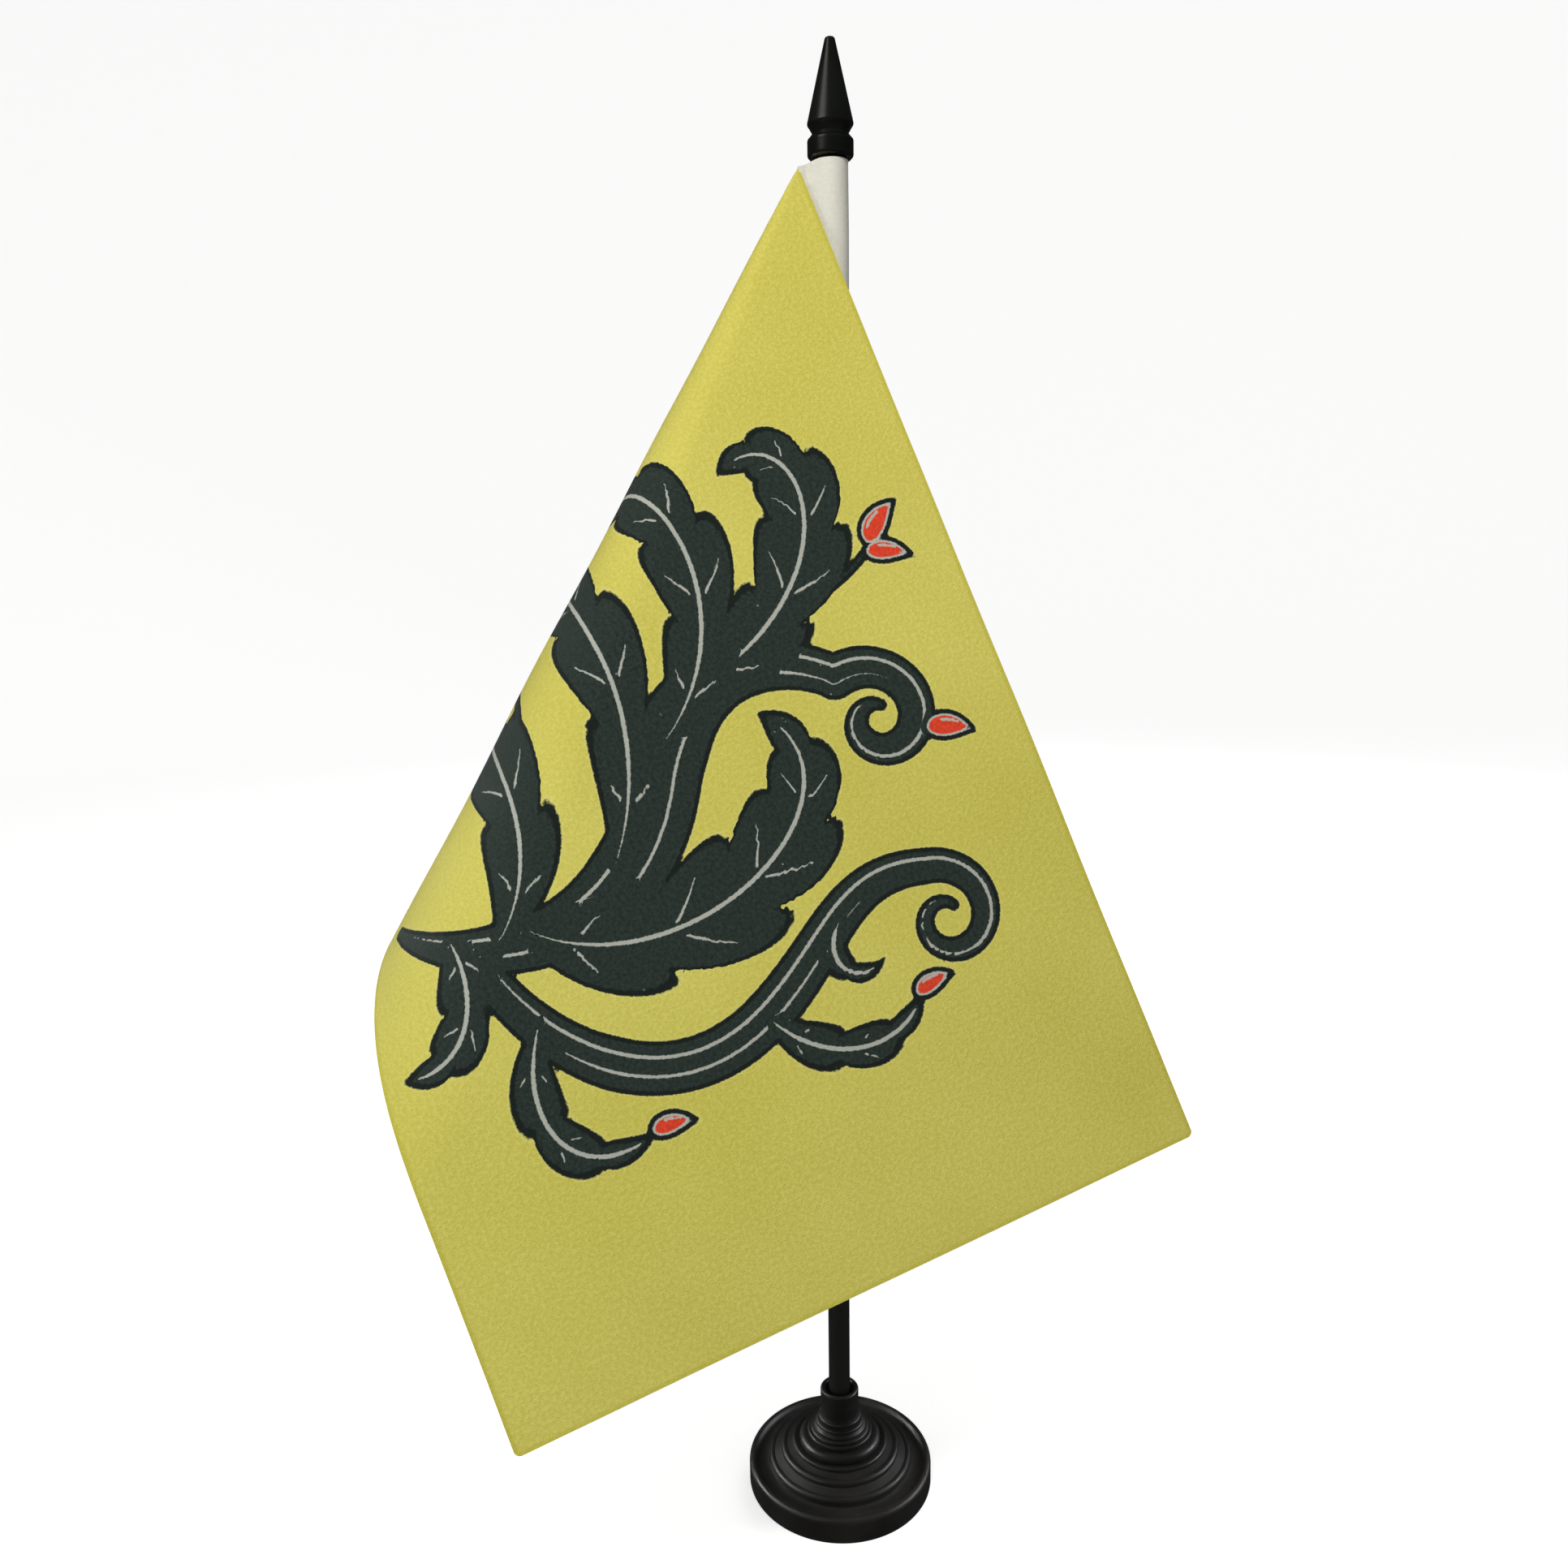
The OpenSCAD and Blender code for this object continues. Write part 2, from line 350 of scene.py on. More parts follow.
# ---------------------------------------------------------------------------
# Foot pad
# A die-cut disc of closed-cell foam, stuck under the cover so that the stand
# doesn't slide. Its edge is slightly crushed, and its face is faintly dimpled.
# ---------------------------------------------------------------------------

pad_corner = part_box("base_pad")[1]
pad_r, pad_h = pad_corner.x / MM, pad_corner.z / MM
upper_round, lower_round = 0.25, 0.35
crush = 0.04
die_cut = np.vstack([
    [(0, pad_h)],
    arc(pad_r - upper_round, pad_h - upper_round, upper_round, 90, 0, 5),
    arc(pad_r - lower_round, lower_round, lower_round, 0, -90, 6),
    [(0, 0)],
])


def crushed(r, z, a):
    """Draws the edge in by crush (1 + sin(11 a + 3 z)), times the eighth power of r's share of the
    pad's radius, so that the middle stays where it is."""
    return -crush * (1 + np.sin(11 * a + 3 * z)) * (r / pad_r) ** 8


pad = revolve("foot_pad", die_cut, 0.5, 160, ripple=crushed)
foam, tree, shader = new_material("closed-cell foam", Roughness=0.9)
pores = node(tree, "ShaderNodeTexVoronoi", {"Vector": place_on(tree), "Scale": 2600.0})
cell = ease(tree, pores.outputs["Distance"], 0.15, 0.7)
worn = noise(tree, place_on(tree), 0.006, 3.0)
tone = calc(tree, "MULTIPLY_ADD", cell, 0.5, calc(tree, "MULTIPLY", worn, 0.5))
foam_colour = blend(tree, tone, (0.05, 0.05, 0.052, 1), (0.018, 0.018, 0.019, 1))
tree.links.new(foam_colour, shader.inputs["Base Color"])
tree.links.new(bump(tree, cell, 0.0001), shader.inputs["Normal"])
dress(pad, "base", "pad_foam", foam, "base_pad")

# ---------------------------------------------------------------------------
# Pole
# An extruded rod of black plastic with chamfered ends, pushed into the base's
# socket. The die has drawn faint lines along it.
# ---------------------------------------------------------------------------

pole_top, chamfer = pole_high.z / MM, 0.4
rod = [
    (0, pole_top), (pole_r - chamfer, pole_top), (pole_r, pole_top - chamfer),
    (pole_r, socket_floor + chamfer), (pole_r - chamfer, socket_floor), (0, socket_floor),
]
pole = revolve("pole_rod", rod, 2.0, 72, 30)
pole_plastic = moulded_plastic(
    "drawn pole plastic",
    (0.017, 0.0165, 0.016, 1),
    (0.04, 0.038, 0.035, 1),
    (0.3, 0.52),
    0.0004,
    0.000012,
    stretch=(1, 1, 0.04),
    Specular_IOR_Level=0.4,
)
dress(pole, "mast", "pole_plastic", pole_plastic, "pole")

# ---------------------------------------------------------------------------
# Finial
# A glossy moulded point, pressed on to the pole's end: a cone with a rounded lip,
# a V groove and a collar. The mould's halves have left a fine line up each side.
# ---------------------------------------------------------------------------

low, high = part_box("finial")
finial_r, finial_z, tip_z = high.x / MM, low.z / MM, high.z / MM
collar_h = 4
groove_r, groove_h = 3.7, 2.4
edge_round, tip_round = 0.7, 0.6
cone_z = finial_z + collar_h + groove_h
groove_z = cone_z - groove_h / 2 - 0.4
edge_r = finial_r - edge_round
bore_top, drill_point = pole_top + 0.2, 0.8
point = np.vstack([
    [(0, tip_z)],
    arc(0.5, tip_z - tip_round, tip_round, 90, 15, 10),
    arc(edge_r, cone_z + 0.3, edge_round, 15, -50, 12),
    [(groove_r + 0.04, groove_z + 0.07), (groove_r, groove_z)],
    arc(edge_r, finial_z + collar_h - edge_round, edge_round, 60, 0, 12),
    arc(edge_r, finial_z + 0.8, edge_round, 0, -60, 12),
    [(finial_r - 0.5, finial_z), (bore_r, finial_z), (bore_r, bore_top), (0, bore_top + drill_point)],
])


def parting_line(r, z, a):
    """A ridge at both ends of one diameter, the same at every z: 0.03 exp(-(across / 0.1)^2) mm high,
    on the outside only, and fading out at the tip."""
    across = r * np.sin(a - 0.5)
    ridge = 0.03 * np.exp(-((across / 0.1) ** 2)) * np.clip(r - 0.5, 0, 1)
    return np.where(r > bore_r + 0.1, ridge, 0)


finial = revolve("finial_point", point, 0.35, 240, 50, parting_line)
finial_plastic = moulded_plastic(
    "glossy finial plastic",
    (0.003, 0.0038, 0.0034, 1),
    (0.03, 0.034, 0.03, 1),
    (0.2, 0.36),
    0.0006,
    0.00001,
    Specular_IOR_Level=0.5,
    Coat_Weight=0.15,
    Coat_Roughness=0.25,
)
dress(finial, "finial", "finial_plastic", finial_plastic, "finial")

# ---------------------------------------------------------------------------
# Flag sleeve
# A strip of white satin-weave polyester, folded round the pole and sewn together
# at its two lips, so that it can turn freely. Its lips slope down to the seam at
# the top, and the stitches pinch them.
# ---------------------------------------------------------------------------

low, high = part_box("flag_sleeve")
sleeve_low, sleeve_top = low.z / MM, high.z / MM
cloth = 0.25
sleeve_r = 3.65 - cloth / 2
seam_out = 6.9
seam_angle = math.radians(196.9)
lip_start = 5.2
lip_side = cloth
slope_start, slope_drop = 2.4, 1.3
stitch_x = 6.05
stitch_pitch = 3.5
stitch_l = 2.4
stitch_margin = 4
corner_z = sleeve_top - 1.5
first_stitch = corner_z - stitch_margin
seam_way = np.array([math.cos(seam_angle), math.sin(seam_angle), 0])
seam_side = np.array([-math.sin(seam_angle), math.cos(seam_angle), 0])


def from_seam(x, y, z):
    """Points of the object's frame, in metres, from millimetres along the seam's direction, across it
    and up."""
    up = np.array([0, 0, 1])
    return (x[..., None] * seam_way + y[..., None] * seam_side + z[..., None] * up) * MM


def softened(line, passes):
    """The line with each inner point moved to the mean of itself and its neighbours, several times."""
    for _ in range(passes):
        line = np.vstack([line[:1], (line[:-2] + line[1:-1] + line[2:]) / 3, line[-1:]])
    return line


def edge_loop(rows, cols):
    """Numbers of a grid's border points: along the first row, down the last column, and back."""
    grid = np.arange(rows * cols).reshape(rows, cols)
    return np.concatenate([grid[0, :-1], grid[:-1, -1], grid[-1, :0:-1], grid[:0:-1, 0]])


def thick_sheet(name, middle, normal, half, flat_u, flat_v):
    """A grid of points with a face on each side of it, half of the thickness away along its
    normals, closed round its border. The flat place of each point becomes the UV map, in metres."""
    rows, cols = middle.shape[:2]
    count = rows * cols
    offset = normal * half[..., None]
    points = np.concatenate([(middle + offset).reshape(-1, 3), (middle - offset).reshape(-1, 3)])
    front = quads(rows, cols)
    back = [face[::-1] for face in quads(rows, cols, start=count)]
    rim = edge_loop(rows, cols)
    ahead = np.roll(rim, -1)
    border = np.stack([rim, ahead, ahead + count, rim + count], 1).tolist()
    piece = new_piece(name, points, front + back + border, 50)
    flat = np.tile(np.stack([flat_u.ravel(), flat_v.ravel()], 1), (2, 1)) * MM
    corners = np.zeros(len(piece.data.loops), np.int32)
    piece.data.loops.foreach_get("vertex_index", corners)
    layer = piece.data.uv_layers.new(name="cloth")
    layer.data.foreach_set("uv", flat[corners].astype(np.float32).ravel())
    return piece


touch = math.acos(sleeve_r / math.hypot(lip_start, lip_side)) + math.atan2(lip_side, lip_start)
wrap = arc(0, 0, sleeve_r, -math.degrees(touch), math.degrees(touch) - 360, 60)
strip = np.vstack([
    [(seam_out, -lip_side), (lip_start, -lip_side)], wrap, [(lip_start, lip_side), (seam_out, lip_side)],
])
strip = softened(divided(strip, 0.28), 4)
strip_step = np.gradient(strip, axis=0)
strip_out = np.stack([strip_step[:, 1], -strip_step[:, 0]], 1)
strip_out /= np.linalg.norm(strip_out, axis=1)[:, None]
strip_at = np.concatenate([[0], np.cumsum(np.linalg.norm(np.diff(strip, axis=0), axis=1))])

# Each point moves along the section's outward direction: the tube swells in slow waves, and the lips
# are pinched at every stitch and pucker beside it
rise = np.linspace(0, 1, 221)[:, None]
u = np.repeat(strip_at[None, :], len(rise), 0)
x0, y0 = strip[None, :, 0], strip[None, :, 1]
slope = np.clip((x0 - slope_start) / (seam_out - slope_start), 0, 1)
top_here = sleeve_top - 0.1 - slope_drop * slope**2 * (3 - 2 * slope)
z = sleeve_low + rise * (top_here - sleeve_low)
slack = np.clip((4.2 - x0) / 3, 0, 1)
angle = np.arctan2(y0, x0)
swell = 0.05 * np.sin(z / 9 + 2 * angle) + 0.04 * np.sin(z / 4.3 - 3 * angle + 1) - 0.05
beat = 2 * np.pi * (first_stitch - z) / stitch_pitch
pinch = 0.05 * np.exp(-(((x0 - stitch_x) / 0.5) ** 2)) * (1 + np.cos(beat))
pucker = 0.06 * np.exp(-(((x0 - 4.4) / 0.9) ** 2)) * np.sin(beat)
push = slack * swell - pinch + pucker
x = x0 + push * strip_out[None, :, 0]
y = y0 + push * strip_out[None, :, 1]
out = from_seam(strip_out[:, 0], strip_out[:, 1], np.zeros(len(strip))) / MM
normal = np.repeat(out[None], len(rise), 0)
half = np.full(x.shape, cloth / 2 * MM)
sleeve = thick_sheet("sleeve_strip", from_seam(x, y, z), normal, half, u, z - sleeve_low)

# Woven cloth: crossing threads, an uneven pebbled surface, and slow fading from washing and light
weave, given, gives = new_group(
    "woven cloth", ["Place", "Thread", "Pebble"], ["Weave", "Pebble", "Fade", "Fleck"]
)
place = given["Place"]
turns = calc(weave, "DIVIDE", 2 * math.pi, given["Thread"])
wavy = node(weave, "ShaderNodeTexNoise", {"Vector": place, "Scale": 260.0, "Detail": 1.0}).outputs["Fac"]
spread = node(weave, "ShaderNodeSeparateXYZ", {"Vector": place})
warp_sway, weft_sway = calc(weave, "MULTIPLY", wavy, 2.5), calc(weave, "MULTIPLY", wavy, -2.0)
warp = calc(weave, "SINE", calc(weave, "MULTIPLY_ADD", spread.outputs[0], turns, warp_sway))
weft = calc(weave, "SINE", calc(weave, "MULTIPLY_ADD", spread.outputs[1], turns, weft_sway))
crossing = calc(weave, "MULTIPLY_ADD", calc(weave, "MULTIPLY", warp, weft), 0.5, 0.5)
weave.links.new(crossing, gives["Weave"])
coarse = noise(weave, place, given["Pebble"], 2.0, 0.55)
fine = noise(weave, place, calc(weave, "MULTIPLY", given["Pebble"], 0.4), 2.0, 0.6)
pebbles = calc(weave, "MULTIPLY_ADD", coarse, 0.6, calc(weave, "MULTIPLY", fine, 0.4))
weave.links.new(ease(weave, pebbles, 0.34, 0.66), gives["Pebble"])
weave.links.new(ease(weave, noise(weave, place, 0.06, 3.0), 0.3, 0.7), gives["Fade"])
cells = node(weave, "ShaderNodeTexVoronoi", {"Vector": place, "Scale": 330.0})
lone = node(weave, "ShaderNodeSeparateColor", {"Color": cells.outputs["Color"]}).outputs[0]
near = ease(weave, cells.outputs["Distance"], 0.02, 0.09, 1.0, 0.0)
weave.links.new(calc(weave, "MULTIPLY", near, ease(weave, lone, 0.93, 0.95)), gives["Fleck"])

satin, tree, shader = new_material(
    "white satin cloth", Sheen_Weight=0.15, Sheen_Roughness=0.4, Specular_IOR_Level=0.3
)
flat_place = node(tree, "ShaderNodeUVMap", uv_map="cloth").outputs["UV"]
threads = use(tree, weave, {"Place": flat_place, "Thread": 0.0004, "Pebble": 0.0008})
tone = calc(tree, "MULTIPLY_ADD", threads["Weave"], 0.35, calc(tree, "MULTIPLY", threads["Pebble"], 0.3))
tone = calc(tree, "MULTIPLY_ADD", threads["Fade"], 0.35, tone)
white = blend(tree, tone, (0.6, 0.605, 0.55, 1), (0.76, 0.755, 0.69, 1))
tree.links.new(white, shader.inputs["Base Color"])
tree.links.new(ease(tree, threads["Pebble"], 0.0, 1.0, 0.42, 0.6), shader.inputs["Roughness"])
woven = bump(tree, threads["Weave"], 0.00002)
tree.links.new(bump(tree, threads["Pebble"], 0.00003, woven), shader.inputs["Normal"])
dress(sleeve, "flag", "sleeve_cloth", satin, "flag_sleeve")

# ---------------------------------------------------------------------------
# Flag
# A rectangle of light polyester, heat-cut on its free edges and printed right
# through. It hangs from its upper hoist corner as part of a cone: a loose turn
# behind the pole, a tight fold at one side, and a flat front.
# ---------------------------------------------------------------------------

flag_l, flag_h = 210, 140
leave = math.radians(145.4)
back_span, back_cone = math.radians(33.4), math.radians(18)
fold_span, fold_cone = math.radians(16.2), math.radians(8.1)
tucked = 1.2


def bend(way, side, cone, span):
    """A ruling's direction and its turning direction, after that angle of cloth on a cone of that
    half angle: both have turned about the cone's axis by the angle over the cone's sine."""
    axis = way * math.cos(cone) - np.cross(way, side) * math.sin(cone)
    a = np.asarray(-span / math.sin(cone))[..., None]
    return [
        v * np.cos(a) + np.cross(axis, v) * np.sin(a) + axis * (axis @ v) * (1 - np.cos(a))
        for v in (way, side)
    ]


def ruling(a):
    """Direction of the straight line of cloth at angle a from the hoist, and the direction in which
    it turns: round the back cone, round the fold's cone, and then straight on in one plane."""
    hoist = np.array([0, 0, -1.0]), np.array([math.cos(leave), math.sin(leave), 0])
    back_end = bend(*hoist, back_cone, back_span)
    fold_end = bend(*back_end, fold_cone, fold_span)
    on_back = bend(*hoist, back_cone, np.minimum(a, back_span))
    on_fold = bend(*back_end, fold_cone, np.clip(a - back_span, 0, fold_span))
    on = np.clip(a - back_span - fold_span, 0, None)[..., None]
    flat = (
        fold_end[0] * np.cos(on) + fold_end[1] * np.sin(on),
        fold_end[1] * np.cos(on) - fold_end[0] * np.sin(on),
    )
    place = np.where(a <= back_span, 0, np.where(a <= back_span + fold_span, 1, 2))[..., None]
    return [np.choose(place, parts) for parts in zip(on_back, on_fold, flat)]


# The flat cloth's grid: s runs from the hoist along the fly, and t down from the top. Its lines are
# close at the edges and under the print, and wide past the print.
edge = np.array([0, 0.4, 0.8, 1.2, 1.6, 2.0])
near_edge = np.arange(0, 4, 0.4)
print_end = 182
s_lines = np.concatenate([
    [-tucked, -tucked / 2],
    near_edge,
    np.arange(4, print_end, 0.8),
    np.arange(print_end, flag_l - 2, 2),
    flag_l - edge[::-1],
])
t_lines = np.concatenate([near_edge, np.arange(4, flag_h - 2.1, 0.8), flag_h - edge[::-1]])
t, s = np.meshgrid(t_lines, s_lines, indexing="ij")

# Each free corner's square of cloth is drawn in to a quarter disc
corner_r = 1.2
for t_end in (0, flag_h):
    du = np.clip((s - flag_l + corner_r) / corner_r, 0, 1)
    dv = np.clip((np.abs(t - (flag_h - t_end)) - flag_h + corner_r) / corner_r, 0, 1)
    s = s - corner_r * du * (1 - np.sqrt(1 - dv**2 / 2))
    t = t + corner_r * dv * (1 - np.sqrt(1 - du**2 / 2)) * (1 if t_end == 0 else -1)

# Each point lies at its own distance r from the upper hoist corner, along its ruling, with a small
# wave that grows with r. The tucked part runs straight back into the seam.
hung = np.maximum(s, 0)
r = np.hypot(hung, t)
way, side = ruling(np.arctan2(hung, t))
normal = np.cross(way, side)
corner = seam_out * seam_way + np.array([0, 0, corner_z])
wave = 0.22 * np.sin(s / 17 + 0.6) * np.sin(t / 23 + 1.1) + 0.15 * np.sin((s + 0.6 * t) / 9)
free = np.clip(r / 60, 0, 1) ** 1.5
middle = corner + r[..., None] * way + (wave * free)[..., None] * normal
inside = s < 0
down = np.array([0, 0, -1.0])
middle[inside] = (corner + s[..., None] * seam_way + t[..., None] * down)[inside]
normal[inside] = np.cross(down, seam_way)
normal[s == 0] += np.cross(down, seam_way)
normal /= np.linalg.norm(normal, axis=-1)[..., None]

# The heat of cutting leaves a bead along the edges, and the cloth thins out at the hoist corner
to_edge = np.minimum(np.minimum(t, flag_h - t), flag_l - s)
bead = 0.05 * np.clip(1 - to_edge / 0.5, 0, 1)
half = (cloth / 2 + bead) * np.clip(r / 4, 0.35, 1)
flag = thick_sheet("flag_cloth", middle * MM, normal, half * MM, s, t)

# The print is made of strokes in a frame whose origin is the flag's middle, x along the fly and
# y up, in mm: two main stems that end in volutes, lobed leaves, and buds on thin stems.


def bezier(points, steps=96):
    """Curve of the control points: the sum of each point times its Bernstein weight."""
    p = np.asarray(points, float)
    k = len(p) - 1
    t = np.linspace(0, 1, steps)[:, None]
    return sum(math.comb(k, i) * t**i * (1 - t) ** (k - i) * p[i] for i in range(k + 1))


def volute(x, y, r0, r1, start, turn, steps=96):
    """Spiral about (x, y) whose radius goes from r0 to r1 in even ratios while it turns."""
    t = np.linspace(0, 1, steps)
    r, a = r0 * (r1 / r0) ** t, np.radians(start + turn * t)
    return np.stack([x + r * np.cos(a), y + r * np.sin(a)], 1)


def stem(lines, widths, rib=0.0):
    """A plain stroke along joined lines, with half-widths at even places on it. Its vein runs at
    that share of the half-width to one side; without a share, it has none."""
    return dict(kind="stem", line=np.vstack(lines), widths=widths, rib=rib)


def leaf(points, w, lobes, slant=1.1, notch=0.45, full=0.8):
    """A lobed leaf about its midrib: half-width w, cut by notches that lean towards the tip."""
    return dict(kind="leaf", line=bezier(points), w=w, lobes=lobes, slant=slant, notch=notch, full=full)


def bud(x, y, length, w, angle):
    """A drop-shaped bud that starts at (x, y) and points along angle, slightly bowed."""
    a, bow = math.radians(angle), 0.35
    middle = (x + 0.5 * length * math.cos(a + bow), y + 0.5 * length * math.sin(a + bow))
    end = (x + length * math.cos(a), y + length * math.sin(a))
    return dict(kind="bud", line=bezier([(x, y), middle, end], 24), w=w)


def half_width(stroke, t):
    """Half of the stroke's width, without its notches, at each share t of its length. A leaf and a
    bud swell and taper as powers of a sine."""
    if stroke["kind"] == "stem":
        return np.interp(t, np.linspace(0, 1, len(stroke["widths"])), stroke["widths"])
    if stroke["kind"] == "leaf":
        return stroke["w"] * np.sin(np.pi * t ** stroke["full"]) ** 0.75
    return stroke["w"] * np.sin(np.pi * t**0.6) ** 0.9


def along(stroke, at):
    """For each point: its signed distance from the stroke's line, the share of the line's length at
    which the stroke reaches nearest to it, and how sharply the line bends towards it there."""
    line = stroke["line"]
    steps = np.diff(line, axis=0)
    heading = np.unwrap(np.arctan2(steps[:, 1], steps[:, 0]))
    sharpness = np.gradient(heading) / np.linalg.norm(steps, axis=1).clip(1e-3)
    width = half_width(stroke, np.linspace(0, 1, len(line)))
    best, t, d, curl = (np.full(len(at), v) for v in (1e9, 0.0, 0.0, 0.0))
    for i, way in enumerate(steps):
        off = at - line[i]
        u = np.clip(off @ way / max(way @ way, 1e-9), 0, 1)
        gap = off - u[:, None] * way
        far = np.sqrt((gap**2).sum(1))
        short = far - (width[i] + u * (width[i + 1] - width[i]))
        near = short < best
        best[near] = short[near]
        t[near] = ((i + u) / len(steps))[near]
        curl[near] = sharpness[i]
        d[near] = (np.sign(way[0] * gap[:, 1] - way[1] * gap[:, 0]) * far)[near]
    return d, t, np.sign(d) * curl


def shape(stroke, d, t, curl, length):
    """The stroke's signed distance, positive inside; then the distance from its main vein and that
    vein's half-width, and the same for its side veins. A width of -1 means no vein.
    A stem is its half-width, with a second vein where it is thick. A leaf is its half-width times a
    wave of notches, and one side vein runs out through each lobe."""
    far, w = np.abs(d), half_width(stroke, t)
    none = np.full_like(d, -1.0)
    if stroke["kind"] == "stem":
        if not stroke["rib"]:
            return w - far, d, none, d, none
        rib_w = 0.34 * np.clip(10 * t * (1 - t), 0, 1)
        thick = (w > 4.2) & (t > 0.12)
        second_w = np.where(thick, 0.3 * np.clip((w - 4.2) / 0.8, 0, 1), -1)
        return w - far, d - stroke["rib"] * w, rib_w, d + 0.3 * w, second_w
    if stroke["kind"] == "bud":
        return w - far, d - 0.35 * w, 0.3 - (np.abs(t - 0.42) > 0.16), d, none
    lean = t - stroke["slant"] * far / length
    phase = np.mod(stroke["lobes"] * lean, 1)
    notch = stroke["notch"] * np.clip(1 - 1.1 * far * np.clip(curl, 0, 1), 0, 1)
    body = (w * (1 - notch * (1 - np.sin(np.pi * phase) ** 0.55)) - far) * 0.8
    rib_w = 0.42 * np.clip(6 * (1 - t) * t, 0, 1) - (t > 0.93)
    shown = (far > 1.2) & (far < 0.64 * w) & (lean > 0.02) & (np.abs(phase - 0.5) < 0.3)
    side_w = 0.3 * np.clip(1.3 - far / (0.62 * w + 0.01), 0, 1) - ~shown
    return body, d, rib_w, (phase - 0.5) * length / stroke["lobes"] * 0.75, side_w


ink_border = 0.95


def print_fields(strokes, x, y):
    """Six numbers for each point in mm: signed distances to ink and red, positive inside, then
    the distance from a vein and its half-width, and the same for side veins. A later stroke covers
    an earlier one, and its veins and its red stay inside its border of ink."""
    at = np.stack([x, y], 1)
    start = dict(ink=-5.0, red=-5.0, rib=2.0, rib_w=-1.0, side=2.0, side_w=-1.0)
    field = {key: np.full(len(x), value) for key, value in start.items()}
    for stroke in strokes:
        line = stroke["line"]
        widest = 2 + 1.3 * max(stroke.get("w", 0), *stroke.get("widths", [0]))
        near = np.flatnonzero(((at > line.min(0) - widest) & (at < line.max(0) + widest)).all(1))
        length = np.linalg.norm(np.diff(line, axis=0), axis=1).sum()
        body, rib, rib_w, side, side_w = shape(stroke, *along(stroke, at[near]), length)
        rib_w = np.where(body < ink_border, -1, rib_w)
        side_w = np.where(body < ink_border, -1, side_w)
        over = body > 0
        for key, value in dict(rib=rib, rib_w=rib_w, side=side, side_w=side_w).items():
            field[key][near[over]] = np.clip(value[over], -2, 2)
        if stroke["kind"] == "bud":
            field["red"][near] = np.maximum(field["red"][near], body - ink_border)
        else:
            field["red"][near[over]] = -1.0
        field["ink"][near] = np.maximum(field["ink"][near], body)
    return field


scroll = [
    stem([bezier([(18, -46), (42, -42), (62, -22), (50, 2)]),
          bezier([(50, 2), (42, 18), (31, 24), (36, 40)]),
          volute(47, 40, 11, 3, 180, -410)], (3.2, 5, 5, 4.4, 3.6, 2.4, 1.2), 0.4),
    leaf([(50, 0), (64, 6), (68, 22), (58, 30)], 4.8, 3),
    leaf([(38, 22), (44, 12), (54, 18), (49, 26)], 3.0, 2),
    leaf([(34, -38), (52, -52), (68, -42), (62, -26)], 5.2, 3),
    stem([bezier([(-12, 20), (-22, 34), (-20, 46), (-28, 55)])], (1.6, 1)),
    stem([bezier([(-8, -30), (-28, -14), (-46, -40), (-60, -34)])], (1.4, 0.9)),
    stem([bezier([(6, -63), (26, -46), (28, -16), (2, -2)]),
          bezier([(2, -2), (-16, 8), (-16, 24), (-6, 36)]),
          volute(6, 42, 12, 3, 205, -420)], (1.4, 5, 7.5, 8, 6.2, 4.8, 4, 3, 1.2), 0.42),
    leaf([(-12, 6), (-14, 34), (-36, 56), (-60, 46), (-50, 30)], 10, 5),
    leaf([(-4, 0), (-18, 24), (-52, 28), (-68, 6), (-54, -4)], 9, 5),
    leaf([(15, -17), (-8, 4), (-48, 2), (-64, -22), (-46, -30)], 9, 5),
    leaf([(20, -42), (4, -20), (-32, -26), (-46, -56), (-26, -58)], 9.5, 5),
    leaf([(18, -36), (36, -20), (34, 14), (12, 36), (-4, 20)], 12, 5),
    leaf([(14, -50), (24, -46), (40, -52), (36, -66)], 6.0, 3),
    bud(-28, 54, 11, 3.2, 125),
    bud(-26, 53, 10, 2.9, 65),
    bud(-59, -34, 9, 2.7, 140),
    bud(-59, -35, 9, 2.7, 215),
    bud(11, 51, 10, 3.2, 65),
    bud(58, 29, 9, 2.7, 95),
    bud(62, -27, 9, 2.7, 80),
]

field = print_fields(scroll, (s - flag_l / 2).ravel(), (flag_h / 2 - t).ravel())
for name, values in field.items():
    add_values(flag.data, name, np.tile(values, 2))
add_values(flag.data, "reverse", np.repeat([0, 1], s.size))

yellow_dark = (0.475, 0.44, 0.066, 1)
yellow_light = (0.66, 0.615, 0.155, 1)
yellow_pale = (0.68, 0.67, 0.26, 1)
yellow_edge = (0.45, 0.41, 0.04, 1)
ink_black = (0.0155, 0.0245, 0.0215, 1)
ink_worn = (0.042, 0.058, 0.052, 1)
ink_line = (0.008, 0.0115, 0.0105, 1)
vein_white = (0.42, 0.44, 0.4, 1)
bud_red = (0.74, 0.068, 0.028, 1)
bud_deep = (0.55, 0.04, 0.02, 1)

printed, tree, shader = new_material(
    "printed flag cloth", Sheen_Weight=0.05, Sheen_Roughness=0.5, Specular_IOR_Level=0.12
)
flat_place = node(tree, "ShaderNodeUVMap", uv_map="cloth").outputs["UV"]
threads = use(tree, weave, {"Place": flat_place, "Thread": 0.0006, "Pebble": 0.00075})
tone = calc(tree, "MULTIPLY_ADD", threads["Weave"], 0.2, calc(tree, "MULTIPLY", threads["Pebble"], 0.5))
tone = calc(tree, "MULTIPLY_ADD", threads["Fade"], 0.3, tone)
ground = blend(tree, tone, yellow_dark, yellow_light)
over = node(tree, "ShaderNodeSeparateXYZ", {"Vector": flat_place})
to_side = calc(tree, "MINIMUM", over.outputs[1], calc(tree, "SUBTRACT", flag_h * MM, over.outputs[1]))
